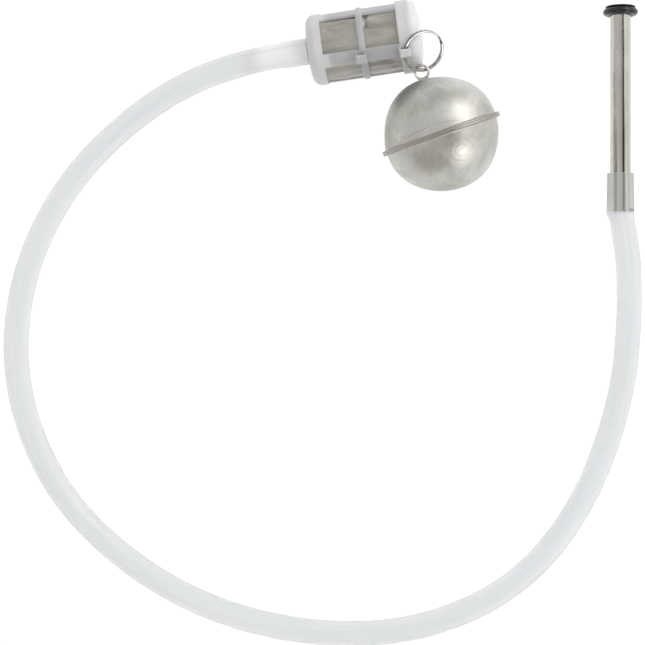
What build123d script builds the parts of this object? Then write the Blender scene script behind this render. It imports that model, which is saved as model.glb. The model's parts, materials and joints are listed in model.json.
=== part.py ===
from build123d import *
import math
import os

# Floating pick-up siphon, lying on a flat surface (z = 0). A short flanged dip tube is the
# outlet; a soft silicone hose runs from it in one wide loop to a caged screen filter; a split
# ring ties the filter to a hollow steel float. Millimetres. The dip tube points along +Y.

# ---------------------------------------------------------------- dip tube and its seal
TUBE_OD = 7.94            # 5/16 inch tube
TUBE_WALL = 0.6
TUBE_LENGTH = 79.65
TUBE_X = 61.87            # the tube's axis, from the frame's origin
TUBE_LOW_Y = -40.16       # the tube's lower end, where the hose's route starts
FLANGE_OD = 11.6
FLANGE_THICKNESS = 0.9
FLANGE_ROUND = 0.3        # on both outer edges of the flange
MOUTH_CHAMFER = 0.3       # inside edge of the flange
SEAL_SECTION = 2.75       # O-ring cord diameter

# ---------------------------------------------------------------- hose
HOSE_OD = 9.53            # 3/8 inch outside
HOSE_ID = 6.35            # 1/4 inch inside
HOSE_ON_TUBE = 14.8       # length stretched over the dip tube
CUT_END_THINNING = 0.25   # the stretched end's rim is this much thinner
NECK_LENGTH = 2.0         # where the hose narrows again past what it is stretched over
HOSE_FLOOR_GAP = 0.04     # lowest line of the hose above the surface
HOSE_LEAD_IN = 20.2       # last straight run of the route, in line with the spigot
RUN_SHARE = 0.45          # share of the shorter run that each bend's arc takes

# ---------------------------------------------------------------- filter
FILTER_BASE_XY = (-54.43, 21.64)  # centre of the spigot-end disc
FILTER_HEADING = 7.8      # degrees from +X, seen from above
FILTER_TILT = 4.87        # degrees that the far end is raised, held up by the hose
SPIGOT_OD = 7.4
SPIGOT_BORE = 5.0
SPIGOT_LENGTH = 8.95
SPIGOT_LEAD = 1.0         # length of the spigot's tapered nose
SPIGOT_NOSE = 0.5         # and how much its radius tapers
DISC_OD = 27.0
DISC_WIDTH = 2.7
DOME_HEIGHT = 3.5         # how far the rounded spigot end stands past its disc
DOME_WALL = 1.5
DOME_ROUND = 3.78         # how far in from the rim its rounded edge reaches
DOME_FALL = 0.5           # how far its face slopes back from the spigot to that edge
DOME_BULGE = 0.9          # how far the rounded edge bulges past a straight bevel
SCREEN_OD = 24.7
SCREEN_WALL = 0.35
RIB_THICKNESS = 0.85
RIB_WIDTH = 5.4
RIB_COUNT = 4
MID_RING_OD = 27.3
MID_RING_WIDTH = 2.7
MID_RING_ROUND = 0.9
MID_RING_AT = 16.4        # from the spigot-end disc, along the axis
COLLAR_OD = 27.9
COLLAR_WIDTH = 4.65
COLLAR_ROUND = 0.4
COLLAR_AT = 32.8
CAP_DOME_HEIGHT = 4.2
CAP_WALL = 1.5
CAP_ROUND = 2.18          # how far in from its edge the cap's rounded edge reaches
CAP_CROWN = 1.26          # height of the flatter crown inside that
CAP_BULGE = 0.56          # how far the rounded edge bulges past a straight bevel
CAP_SKIRT = 2.15          # how far the end cap plugs into the collar
CAP_SKIRT_WALL = 1.3
CAP_EDGE_STEP = 0.35      # the cap's edge stands this much inside the collar's

# ---------------------------------------------------------------- eye lugs on the cage
LUG_ANGLE = 29.5          # degrees round the cage from its top, towards the float
LUG_WALL = 0.75
LUG_LENGTH = 3.4          # along the hole, round the cage
LUG_HOLE_WIDTH = 2.8      # along the cage's axis
LUG_HOLE_HEIGHT = 2.6
LUG_MID_BACK = 0.8        # a lug's middle lies this far short of its ring's: middle ring
LUG_END_BACK = 0.6        # and collar
LUG_ROUND = 0.6

# ---------------------------------------------------------------- split ring
RING_OD = 16.2
STRIP_WIDTH = 0.8         # radial
STRIP_THICKNESS = 0.75
TURN_GAP = 0.1            # between the two turns
JOG_ANGLE = 26.0          # stretch where the strip steps from one turn to the other
JOG_AT = 215.0            # its middle, in degrees round the ring from the lug
RING_HEADING = 6.22       # degrees from +X, from the lug to the ring's centre
RING_DROP = 20.24         # degrees that the ring's centre hangs below the lug
RING_ROLL = 29.73         # degrees that the ring leans about that line
RING_PULL = 0.215         # the strip sits this far off the middle of the lug's hole

# ---------------------------------------------------------------- float and its eye
FLOAT_OD = 43.8
FLOAT_WALL = 0.5
LIP_WIDTH = 1.45          # how far the lips stand out from the ball
LIP_THICKNESS = 0.65      # of each half's lip
LIP_CHAMFER = 0.3
EYE_OD = 6.3
EYE_WIRE = 1.0
EYE_SINK = 0.55           # how far the eye's wire is let into the ball
EYE_AT = 90.82            # degrees round the ring from the lug
EYE_OUT = 0.687           # the eye's centre from the strip's middle, away from the ring's centre
EYE_UP = 0.435            # and along the ring's axis
EYE_ROLL = 20.37          # degrees that the eye leans, its far side up
FLOAT_HEADING = 17.4      # degrees from +Y that the float points its eye, to the left
SEAM_TURN = 2.0           # degrees that the eye is off the shells' own pole: sideways
SEAM_CLIMB = 3.5          # and downwards


# Worked-out sizes that more than one piece uses.
SAME = 1e-4               # two radii closer than this are one and the same
tube_radius = TUBE_OD / 2
tube_bore = tube_radius - TUBE_WALL
tube_height = tube_radius + SEAL_SECTION
hose_radius = HOSE_OD / 2
hose_bore = HOSE_ID / 2
screen_radius = SCREEN_OD / 2
collar_top = COLLAR_AT + COLLAR_WIDTH / 2
lug_mid_at = MID_RING_AT - LUG_MID_BACK
lug_end_at = COLLAR_AT - LUG_END_BACK
ring_radius = (RING_OD - STRIP_WIDTH) / 2
eye_radius = (EYE_OD - EYE_WIRE) / 2
lug_hole_radius = COLLAR_OD / 2 + LUG_HOLE_HEIGHT / 2
spigot_tip_at = -DISC_WIDTH / 2 - DOME_HEIGHT - SPIGOT_LENGTH


def unit(heading, climb):
    """Direction with a heading from +X and a climb from the horizontal, in degrees."""
    h, c = math.radians(heading), math.radians(climb)
    return Vector(math.cos(c) * math.cos(h), math.cos(c) * math.sin(h), math.sin(c))


def filter_frame():
    """Z runs along the filter from its spigot to its cap; X points up."""
    axis = unit(FILTER_HEADING, FILTER_TILT)
    up = unit(FILTER_HEADING, FILTER_TILT + 90)
    disc_corner = math.atan2(DISC_WIDTH / 2, DISC_OD / 2)
    tilt = math.radians(FILTER_TILT)
    height = math.hypot(DISC_WIDTH, DISC_OD) / 2 * math.cos(disc_corner - tilt)
    return Plane(origin=(*FILTER_BASE_XY, height), x_dir=up, z_dir=axis)


def tube_frame():
    """Z runs along the dip tube towards its flange; the origin is its lower end."""
    return Plane(origin=(TUBE_X, TUBE_LOW_Y, tube_height), x_dir=(0, 0, 1), z_dir=(0, 1, 0))


def lug_hole_frame():
    """Z runs through the end lug's hole; X points away from the cage's axis."""
    angle = math.radians(LUG_ANGLE)
    place = filter_frame()
    out = place.x_dir * math.cos(angle) + place.y_dir * math.sin(angle)
    round_cage = place.y_dir * math.cos(angle) - place.x_dir * math.sin(angle)
    centre = place.origin + place.z_dir * lug_end_at + out * lug_hole_radius
    return Plane(origin=centre, x_dir=out, z_dir=round_cage)


def split_ring_frame():
    """Z is the ring's own axis; X points from its centre to the lug."""
    hang = unit(RING_HEADING, -RING_DROP)
    level = Vector(0, 0, 1).cross(hang).normalized()
    upright = hang.cross(level)
    roll = math.radians(RING_ROLL)
    axis = upright * math.cos(roll) - level * math.sin(roll)
    centre = lug_hole_frame().origin + hang * (ring_radius - RING_PULL)
    return Plane(origin=centre, x_dir=hang * -1, z_dir=axis)


def eye_on_ring():
    """Strip middle, outward direction and run of the split ring where the float's eye hangs."""
    ring = split_ring_frame()
    angle = math.radians(EYE_AT)
    out = ring.x_dir * math.cos(angle) + ring.y_dir * math.sin(angle)
    return ring.origin + out * ring_radius, out, ring.z_dir.cross(out)


def float_eye_frame():
    """Z is the wire ring's own axis; X points to the float."""
    strip_middle, out, _ = eye_on_ring()
    centre = strip_middle + out * EYE_OUT + split_ring_frame().z_dir * EYE_UP
    pole = unit(90 + FLOAT_HEADING, 0)
    side = unit(FLOAT_HEADING, 0)
    roll = math.radians(EYE_ROLL)
    return Plane(origin=centre, x_dir=pole * -1,
                 z_dir=Vector(0, 0, 1) * math.cos(roll) - side * math.sin(roll))


def float_frame():
    """Z is the shells' pole, close to the eye; the origin is the ball's centre."""
    reach = FLOAT_OD / 2 + EYE_OD / 2 - EYE_SINK
    eye = float_eye_frame()
    heading = 90 + FLOAT_HEADING + SEAM_TURN
    return Plane(origin=eye.origin + eye.x_dir * reach, x_dir=unit(heading, SEAM_CLIMB - 90),
                 z_dir=unit(heading, SEAM_CLIMB))


# Route of the hose from the dip tube's lower end to the spigot's tip, round the loop. Its
# second-last point lies on the filter's axis, so that the hose meets the spigot in line.
floor_height = hose_radius + HOSE_FLOOR_GAP
hose_route = [
    tube_frame().origin,
    Vector(65.0, -53.8, 5.75),
    Vector(66.0, -79.3, floor_height),
    Vector(62.7, -114.3, floor_height),
    Vector(47.2, -156.3, floor_height),
    Vector(21.2, -186.8, floor_height),
    Vector(-16.3, -203.3, floor_height),
    Vector(-57.8, -204.8, floor_height),
    Vector(-98.8, -194.8, floor_height),
    Vector(-133.8, -173.8, floor_height),
    Vector(-160.3, -144.8, floor_height),
    Vector(-174.3, -105.3, floor_height),
    Vector(-170.8, -63.8, floor_height),
    Vector(-151.8, -26.3, floor_height),
    Vector(-120.3, 2.7, 5.4),
    filter_frame().origin + filter_frame().z_dir * (spigot_tip_at - HOSE_LEAD_IN),
    filter_frame().origin + filter_frame().z_dir * spigot_tip_at,
]


def turned(*edges):
    """Solid of revolution about Z from an outline drawn as radius and height."""
    return revolve(Plane.XZ * make_face(edges), Axis.Z)


def outline(*points):
    """Closed straight-sided outline."""
    return Polyline(*points, close=True)


def rims(piece, radius):
    """The piece's circular edges of that radius."""
    return [e for e in piece.edges().filter_by(GeomType.CIRCLE) if abs(e.radius - radius) < SAME]


def band(inner, outer, low, high, rounding):
    """Ring about Z whose two outer edges are rounded."""
    ring = turned(outline((inner, low), (outer, low), (outer, high), (inner, high)))
    return fillet(rims(ring, outer), rounding)


def bar(length, width, height, low_x, mid_y, mid_z):
    """Box that starts at low_x and is centred on mid_y and mid_z."""
    return Pos(low_x, mid_y, mid_z) * Box(
        length, width, height, align=(Align.MIN, Align.CENTER, Align.CENTER))


def stretched_radius(inner):
    """Outer radius of the hose's wall once it is stretched over a part of radius inner."""
    return math.sqrt(inner**2 + hose_radius**2 - hose_bore**2)


# ---------------------------------------------------------------- the pieces
def make_dip_tube():
    flange_low = TUBE_LENGTH - FLANGE_THICKNESS
    body = turned(outline(
        (tube_bore, 0), (tube_radius, 0), (tube_radius, flange_low), (FLANGE_OD / 2, flange_low),
        (FLANGE_OD / 2, TUBE_LENGTH), (tube_bore + MOUTH_CHAMFER, TUBE_LENGTH),
        (tube_bore, TUBE_LENGTH - MOUTH_CHAMFER)))
    return tube_frame().location * fillet(rims(body, FLANGE_OD / 2), FLANGE_ROUND)


def make_seal():
    middle = TUBE_LENGTH - FLANGE_THICKNESS - SEAL_SECTION / 2
    ring = Torus(tube_radius + SEAL_SECTION / 2, SEAL_SECTION / 2)
    return tube_frame().location * (Pos(0, 0, middle) * ring)


def hose_sleeve(inner, length, thinning):
    """Outside of the hose where it is stretched over a part, with the neck below it."""
    outer = stretched_radius(inner)
    return turned(outline(
        (0, -NECK_LENGTH), (hose_radius, -NECK_LENGTH), (outer, 0),
        (outer - thinning, length), (0, length)))


def hose_path():
    """The route with every corner rounded, and the radius of each arc."""
    runs = [b - a for a, b in zip(hose_route, hose_route[1:])]
    radii = []
    for before, after in zip(runs, runs[1:]):
        half_turn = math.radians(before.get_angle(after)) / 2
        radii.append(RUN_SHARE * min(before.length, after.length) / math.tan(half_turn))
    return FilletPolyline(*hose_route, radius=radii), radii


def make_hose():
    path, radii = hose_path()
    start = Plane(origin=hose_route[0], z_dir=hose_route[1] - hose_route[0])
    spigot_end = filter_frame()
    spigot_end.origin = hose_route[-1]
    tube_end = tube_frame()
    outside = sweep(start * Circle(hose_radius), path=path)
    bore = sweep(start * Circle(hose_bore), path=path)
    outside += Pos(hose_route[0]) * Sphere(hose_radius)
    outside += tube_end.location * hose_sleeve(tube_radius, HOSE_ON_TUBE, CUT_END_THINNING)
    outside += spigot_end.location * hose_sleeve(SPIGOT_OD / 2, SPIGOT_LENGTH, 0)
    bore += Pos(hose_route[0]) * Sphere(hose_bore)
    over_tube = Cylinder(tube_radius, HOSE_ON_TUBE, align=(Align.CENTER, Align.CENTER, Align.MIN))
    over_spigot = Cylinder(SPIGOT_OD / 2, SPIGOT_LENGTH,
                           align=(Align.CENTER, Align.CENTER, Align.MIN))
    bore += tube_end.location * over_tube
    bore += spigot_end.location * over_spigot
    print("hose: free length %.1f mm, arc radii" % path.length, [round(r) for r in radii])
    return outside - bore


def cage_disc():
    """Spigot, rounded end and rim: the end of the cage that the hose fits."""
    face = -DISC_WIDTH / 2
    top = face - DOME_HEIGHT
    spigot = SPIGOT_OD / 2
    bore = SPIGOT_BORE / 2
    rim = DISC_OD / 2
    shoulder = rim - DOME_ROUND
    shoulder_at = top + DOME_FALL
    seat = screen_radius - DOME_WALL
    return turned(
        Line((bore, spigot_tip_at), (spigot - SPIGOT_NOSE, spigot_tip_at)),
        Line((spigot - SPIGOT_NOSE, spigot_tip_at), (spigot, spigot_tip_at + SPIGOT_LEAD)),
        Line((spigot, spigot_tip_at + SPIGOT_LEAD), (spigot, top)),
        Line((spigot, top), (shoulder, shoulder_at)),
        SagittaArc((shoulder, shoulder_at), (rim, face), -DOME_BULGE),
        Line((rim, face), (rim, -face)),
        Line((rim, -face), (screen_radius, -face)),
        Line((screen_radius, -face), (screen_radius, 0)),
        Line((screen_radius, 0), (seat, 0)),
        Line((seat, 0), (shoulder, shoulder_at + DOME_WALL)),
        Line((shoulder, shoulder_at + DOME_WALL), (bore, top + DOME_WALL)),
        Line((bore, top + DOME_WALL), (bore, spigot_tip_at)))


def cage_ribs():
    """The ribs between the disc and the collar, round the screen."""
    low = 0.0
    high = collar_top - COLLAR_WIDTH / 2
    rib_outer = screen_radius + RIB_THICKNESS
    sleeve = turned(outline((screen_radius, low), (rib_outer, low),
                            (rib_outer, high), (screen_radius, high)))
    ribs = []
    for turn in range(RIB_COUNT):
        angle = LUG_ANGLE + turn * 360 / RIB_COUNT
        stave = bar(rib_outer, RIB_WIDTH, high - low, 0, 0, (low + high) / 2)
        ribs.append(sleeve & (Rot(0, 0, angle) * stave))
    return ribs


def eye_lug(seat_radius, along):
    """Staple-shaped eye that stands on the cage, with its hole round the cage."""
    foot = screen_radius + RIB_THICKNESS / 2
    top = seat_radius + LUG_HOLE_HEIGHT + LUG_WALL
    width = LUG_HOLE_WIDTH + 2 * LUG_WALL
    block = bar(top - foot, LUG_LENGTH, width, foot, 0, along)
    block = fillet(block.faces().sort_by(Axis.X)[-1].edges(), LUG_ROUND)
    block -= bar(LUG_HOLE_HEIGHT, LUG_LENGTH * 2, LUG_HOLE_WIDTH, seat_radius, 0, along)
    return Rot(0, 0, LUG_ANGLE) * block


def make_filter_cage():
    cage = cage_disc()
    for rib in cage_ribs():
        cage += rib
    cage += band(screen_radius, MID_RING_OD / 2, MID_RING_AT - MID_RING_WIDTH / 2,
                 MID_RING_AT + MID_RING_WIDTH / 2, MID_RING_ROUND)
    cage += band(screen_radius, COLLAR_OD / 2, collar_top - COLLAR_WIDTH, collar_top,
                 COLLAR_ROUND)
    cage += eye_lug(MID_RING_OD / 2, lug_mid_at)
    cage += eye_lug(COLLAR_OD / 2, lug_end_at)
    return filter_frame().location * cage


def make_filter_screen():
    inner = screen_radius - SCREEN_WALL
    high = collar_top - CAP_SKIRT
    screen = turned(outline((inner, 0), (screen_radius, 0), (screen_radius, high), (inner, high)))
    return filter_frame().location * screen


def make_filter_end_cap():
    """Low dome on the collar, with a skirt that plugs into it."""
    edge = COLLAR_OD / 2 - CAP_EDGE_STEP
    top = collar_top + CAP_DOME_HEIGHT
    shoulder = edge - CAP_ROUND
    shoulder_at = top - CAP_CROWN
    skirt_low = collar_top - CAP_SKIRT
    skirt_inner = screen_radius - CAP_SKIRT_WALL
    hollow = skirt_inner - CAP_ROUND
    crown_radius = (shoulder**2 + CAP_CROWN**2) / (2 * CAP_CROWN)
    halfway = top - crown_radius + math.sqrt(crown_radius**2 - (shoulder / 2)**2)
    return filter_frame().location * turned(
        Line((0, top - CAP_WALL), (hollow, shoulder_at - CAP_WALL)),
        Line((hollow, shoulder_at - CAP_WALL), (skirt_inner, collar_top)),
        Line((skirt_inner, collar_top), (skirt_inner, skirt_low)),
        Line((skirt_inner, skirt_low), (screen_radius, skirt_low)),
        Line((screen_radius, skirt_low), (screen_radius, collar_top)),
        Line((screen_radius, collar_top), (edge, collar_top)),
        SagittaArc((edge, collar_top), (shoulder, shoulder_at), CAP_BULGE),
        ThreePointArc((shoulder, shoulder_at), (shoulder / 2, halfway), (0, top)),
        Line((0, top), (0, top - CAP_WALL)))


def strip_section(angle, height):
    """Cross-section of the split ring's strip at an angle round the ring."""
    out = unit(angle, 0)
    place = Plane(origin=out * ring_radius + Vector(0, 0, height), x_dir=out,
                  z_dir=Vector(0, 0, 1).cross(out))
    return place * Rectangle(STRIP_WIDTH, STRIP_THICKNESS)


def make_split_ring():
    """Two flat turns, one on the other, joined by a short slanted jog."""
    layer = (STRIP_THICKNESS + TURN_GAP) / 2
    flat_arc = 360 - JOG_ANGLE
    start = JOG_AT + JOG_ANGLE / 2
    lower = revolve(strip_section(start, -layer), Axis.Z, flat_arc)
    upper = revolve(strip_section(start, layer), Axis.Z, flat_arc)
    jog = loft([strip_section(JOG_AT - JOG_ANGLE / 2, -layer), strip_section(JOG_AT, 0),
                strip_section(JOG_AT + JOG_ANGLE / 2, layer)], ruled=True)
    return split_ring_frame().location * (lower + jog + upper)


def make_float_eye():
    """Wire ring; the ball's surface cuts its foot, where it is welded on."""
    wire = float_eye_frame().location * Torus(eye_radius, EYE_WIRE / 2)
    return wire - float_frame().location * Sphere(FLOAT_OD / 2)


def half_float(side):
    """Hollow hemisphere with a lip round its rim, above (1) or below (-1) the seam."""
    outer = FLOAT_OD / 2
    lip = outer + LIP_WIDTH
    inner = outer - FLOAT_WALL
    on_lip = math.sqrt(outer**2 - LIP_THICKNESS**2)
    mid = math.sqrt(0.5)
    shell = turned(
        Line((inner, 0), (lip - LIP_CHAMFER, 0)),
        Line((lip - LIP_CHAMFER, 0), (lip, LIP_CHAMFER)),
        Line((lip, LIP_CHAMFER), (lip, LIP_THICKNESS)),
        Line((lip, LIP_THICKNESS), (on_lip, LIP_THICKNESS)),
        ThreePointArc((on_lip, LIP_THICKNESS), (outer * mid, outer * mid), (0, outer)),
        Line((0, outer), (0, inner)),
        ThreePointArc((0, inner), (inner * mid, inner * mid), (inner, 0)))
    if side < 0:
        shell = mirror(shell, about=Plane.XY)
    return float_frame().location * shell


def main():
    pieces = {
        "dip_tube": make_dip_tube(),
        "dip_tube_o_ring": make_seal(),
        "hose": make_hose(),
        "filter_cage": make_filter_cage(),
        "filter_screen": make_filter_screen(),
        "filter_end_cap": make_filter_end_cap(),
        "split_ring": make_split_ring(),
        "float_eye": make_float_eye(),
        "float_upper_shell": half_float(1),
        "float_lower_shell": half_float(-1),
    }
    os.makedirs("parts", exist_ok=True)
    for name, piece in pieces.items():
        export_step(piece, "parts/%s.step" % name)
    rigid = [piece.bounding_box() for name, piece in pieces.items() if name != "hose"]
    low = [min(getattr(box.min, k) for box in rigid) for k in "XYZ"]
    high = [max(getattr(box.max, k) for box in rigid) for k in "XYZ"]
    print("box without the hose", [round(v, 3) for v in low], [round(v, 3) for v in high])
    print("its middle", [round((a + b) / 2, 3) for a, b in zip(low, high)])
    section = math.pi * (hose_radius**2 - hose_bore**2)
    print("hose volume %.0f, section times free length %.0f mm3"
          % (pieces["hose"].volume, section * hose_path()[0].length))
    return pieces


if __name__ == "__main__":
    main()
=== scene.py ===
import json
import math

import bmesh
import bpy
from mathutils import Matrix, Vector, noise


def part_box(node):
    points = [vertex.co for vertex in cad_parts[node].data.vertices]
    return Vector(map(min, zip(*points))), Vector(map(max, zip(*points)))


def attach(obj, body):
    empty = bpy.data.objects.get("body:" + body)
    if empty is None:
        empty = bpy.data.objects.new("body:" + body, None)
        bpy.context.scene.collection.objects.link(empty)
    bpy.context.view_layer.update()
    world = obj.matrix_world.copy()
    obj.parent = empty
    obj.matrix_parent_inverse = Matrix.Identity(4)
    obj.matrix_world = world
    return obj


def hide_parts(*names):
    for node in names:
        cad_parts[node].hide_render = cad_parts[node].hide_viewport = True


# Looks of the floating pick-up siphon. Metres in the row frame; piece shapes are drawn in
# millimetres in their own frames and scaled by MM.

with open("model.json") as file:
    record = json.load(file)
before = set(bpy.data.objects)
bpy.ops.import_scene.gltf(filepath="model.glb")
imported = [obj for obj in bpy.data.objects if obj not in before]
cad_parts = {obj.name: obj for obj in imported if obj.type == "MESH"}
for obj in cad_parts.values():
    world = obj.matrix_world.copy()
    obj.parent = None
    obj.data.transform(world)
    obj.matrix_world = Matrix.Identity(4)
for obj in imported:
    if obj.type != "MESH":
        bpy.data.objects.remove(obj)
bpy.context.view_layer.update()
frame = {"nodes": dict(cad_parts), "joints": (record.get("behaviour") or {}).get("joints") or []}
MM = 0.001

# ---------------------------------------------------------------- sizes shared with the part
TUBE_OD = 7.94
TUBE_WALL = 0.6
TUBE_LENGTH = 79.65
FLANGE_OD = 11.6
FLANGE_THICKNESS = 0.9
FLANGE_UNDER = TUBE_LENGTH - FLANGE_THICKNESS
SEAL_SECTION = 2.75
HOSE_OD = 9.53
HOSE_ID = 6.35
HOSE_ON_TUBE = 14.8
HOSE_ON_SPIGOT = 8.95
SPIGOT_OD = 7.4
CUT_END_THINNING = 0.25
NECK_LENGTH = 2.0
FILTER_HEADING = 7.8
FILTER_TILT = 4.87
SCREEN_OD = 24.7
SCREEN_WALL = 0.35
SCREEN_LENGTH = 32.975
RING_OD = 16.2
STRIP_WIDTH = 0.8
STRIP_THICKNESS = 0.75
TURN_GAP = 0.1
JOG_ANGLE = 26.0
JOG_AT = 215.0
RING_HEADING = 6.22
RING_DROP = 20.24
RING_ROLL = 29.73
RING_PULL = 0.215
FLOAT_OD = 43.8
FLOAT_WALL = 0.5
LIP_WIDTH = 1.45
LIP_THICKNESS = 0.65
LIP_BEAD = 0.22          # how much thicker than its sheet the pressed lip is
LIP_SIDE = LIP_THICKNESS + LIP_BEAD
LIP_EDGE = FLOAT_OD / 2 + LIP_WIDTH
EYE_OD = 6.3
EYE_WIRE = 1.0
EYE_SINK = 0.55
EYE_ROLL = 20.37
FLOAT_HEADING = 17.4
SEAM_TURN = 2.0
SEAM_CLIMB = 3.5
COLLAR_TOP = 35.125
CAP_TOP = 39.325
CAP_EDGE = 13.6
CAP_SHOULDER = 11.42
CAP_CROWN = 1.26
CAP_WALL = 1.5
CAP_SKIRT_WALL = 1.3
CAP_BRIM = 0.15          # straight side between the collar and the rounded edge
CAP_ROOF_BEVEL = 2.2     # width of the slope inside, from the skirt to the roof

# The hose's route from the dip tube's lower end round the loop to the spigot's tip.
HOSE_ROUTE = [
    (0.06187, -0.04016, 0.00672), (0.0650, -0.0538, 0.00575), (0.0660, -0.0793, 0.004805),
    (0.0627, -0.1143, 0.004805), (0.0472, -0.1563, 0.004805), (0.0212, -0.1868, 0.004805),
    (-0.0163, -0.2033, 0.004805), (-0.0578, -0.2048, 0.004805), (-0.0988, -0.1948, 0.004805),
    (-0.1338, -0.1738, 0.004805), (-0.1603, -0.1448, 0.004805), (-0.1743, -0.1053, 0.004805),
    (-0.1708, -0.0638, 0.004805), (-0.1518, -0.0263, 0.004805), (-0.1203, 0.0027, 0.0054),
    (-0.08799, 0.01704, 0.01068), (-0.06805, 0.01977, 0.01239),
]


# ---------------------------------------------------------------- places
def unit(heading, climb):
    """Direction with a heading from +X and a climb from the horizontal, in degrees."""
    h, c = math.radians(heading), math.radians(climb)
    return Vector((math.cos(c) * math.cos(h), math.cos(c) * math.sin(h), math.sin(c)))


def place_at(origin, x_axis, z_axis):
    """Matrix of a frame with that origin, X and Z."""
    y_axis = z_axis.cross(x_axis)
    return Matrix.Translation(origin) @ Matrix((x_axis, y_axis, z_axis)).transposed().to_4x4()


def middle(*nodes):
    """Middle of the box round some CAD nodes."""
    corners = [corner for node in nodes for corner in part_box(node)]
    return Vector([(min(c[k] for c in corners) + max(c[k] for c in corners)) / 2
                   for k in range(3)])


def joint(name):
    """The joint of that name in the frame."""
    return next(j for j in frame["joints"] if j["name"] == name)


def tube_place():
    """Z runs along the dip tube to its flange, from its lower end; X points up."""
    low = middle("dip_tube") - Vector((0, TUBE_LENGTH / 2 * MM, 0))
    return place_at(low, Vector((0, 0, 1)), Vector((0, 1, 0)))


def filter_place():
    """Z runs along the filter from its spigot-end disc to its cap; X points up."""
    axis = unit(FILTER_HEADING, FILTER_TILT)
    origin = middle("filter_screen") - axis * (SCREEN_LENGTH / 2 * MM)
    return place_at(origin, unit(FILTER_HEADING, FILTER_TILT + 90), axis)


def split_ring_place():
    """Z is the ring's own axis; X points from its centre to the lug."""
    hang = unit(RING_HEADING, -RING_DROP)
    level = Vector((0, 0, 1)).cross(hang).normalized()
    roll = math.radians(RING_ROLL)
    axis = hang.cross(level) * math.cos(roll) - level * math.sin(roll)
    reach = ((RING_OD - STRIP_WIDTH) / 2 - RING_PULL) * MM
    return place_at(Vector(joint("ring_swing")["pos_m"]) + hang * reach, -hang, axis)


def float_place():
    """Z is the shells' pole, close to the eye; X points up."""
    centre = middle("float_upper_shell", "float_lower_shell")
    heading = 90 + FLOAT_HEADING + SEAM_TURN
    return place_at(centre, -unit(heading, SEAM_CLIMB - 90), unit(heading, SEAM_CLIMB))


def float_eye_place():
    """Z is the wire ring's own axis; X points to the float."""
    pole = unit(90 + FLOAT_HEADING, 0)
    centre = float_place().translation + pole * ((FLOAT_OD / 2 + EYE_OD / 2 - EYE_SINK) * MM)
    roll = math.radians(EYE_ROLL)
    axis = Vector((0, 0, 1)) * math.cos(roll) - unit(FLOAT_HEADING, 0) * math.sin(roll)
    return place_at(centre, -pole, axis)


# ---------------------------------------------------------------- camera and lights
CAMERA_AT = (-0.05373, -0.08316, 0.700)
LENS = 99.74
SENSOR = 36.0


def make_camera():
    camera = bpy.data.objects.new("camera", bpy.data.cameras.new("camera"))
    camera.data.lens, camera.data.sensor_width = LENS, SENSOR
    camera.location = CAMERA_AT
    bpy.context.collection.objects.link(camera)
    bpy.context.scene.camera = camera


make_camera()
bpy.context.scene.view_settings.view_transform = "Standard"


# ---------------------------------------------------------------- mesh tools
def soft(corners, steps=5):
    """Outline through (radius, height, rounding) corners, each eased over its rounding."""
    points = []
    for i, (r, z, rounding) in enumerate(corners):
        corner = Vector((r, z))
        if not rounding:
            points.append(corner)
            continue
        before = Vector(corners[i - 1][:2]) - corner
        after = Vector(corners[(i + 1) % len(corners)][:2]) - corner
        first = corner + before.normalized() * min(rounding, before.length / 2)
        last = corner + after.normalized() * min(rounding, after.length / 2)
        for step in range(steps + 1):
            t = step / steps
            points.append(first * (1 - t)**2 + corner * (2 * t * (1 - t)) + last * t**2)
    return points


def dense(points, spacing):
    """The same closed outline with points no further apart than the spacing."""
    result = []
    for a, b in zip(points, points[1:] + points[:1]):
        parts = max(1, math.ceil((b - a).length / spacing))
        result += [a.lerp(b, k / parts) for k in range(parts)]
    return result


def skin(name, rings, place, closed=True):
    """Surface over a row of rings of points; its UVs are millimetres along and around."""
    count = len(rings[0])
    along, around = [0.0], [0.0]
    for a, b in zip(rings, rings[1:] + rings[:1]):
        along.append(along[-1] + (b[0] - a[0]).length)
    for a, b in zip(rings[0], rings[0][1:] + rings[0][:1]):
        around.append(around[-1] + (b - a).length)
    form = bmesh.new()
    uv = form.loops.layers.uv.new("mm")
    points = [[form.verts.new(p * MM) for p in ring] for ring in rings]
    for i in range(len(rings) if closed else len(rings) - 1):
        for j in range(count):
            corners = ((i, j), (i + 1, j), (i + 1, j + 1), (i, j + 1))
            face = form.faces.new([points[a % len(rings)][b % count] for a, b in corners])
            face.smooth = True
            for loop, (a, b) in zip(face.loops, corners):
                loop[uv].uv = (along[a], around[b])
    if not closed:
        form.faces.new(points[0])
        form.faces.new(points[-1][::-1])
    bmesh.ops.remove_doubles(form, verts=form.verts, dist=1e-7)
    bmesh.ops.recalc_face_normals(form, faces=form.faces)
    mesh = bpy.data.meshes.new(name)
    form.to_mesh(mesh)
    form.free()
    piece = bpy.data.objects.new(name, mesh)
    bpy.context.collection.objects.link(piece)
    piece.matrix_world = place
    return piece


def turned(name, profile, place, turns=128, reshape=None):
    """Closed outline of radius and height, turned about Z; reshape may move each point."""
    rings = []
    for i in range(turns):
        angle = 2 * math.pi * i / turns
        ring = [Vector((r * math.cos(angle), r * math.sin(angle), z)) for r, z in profile]
        rings.append([reshape(p) for p in ring] if reshape else ring)
    return skin(name, rings, place)


def dress(piece, material, body, slot, *nodes):
    """Gives a piece its material and body, and hides the CAD nodes it stands for; the slot is not
    used.
    """
    piece.data.materials.clear()
    piece.data.materials.append(material)
    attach(piece, body)
    if nodes:
        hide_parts(*nodes)
    return piece


# ---------------------------------------------------------------- node tools
row_origin = bpy.data.objects.new("row_origin", None)
bpy.context.collection.objects.link(row_origin)


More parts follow.
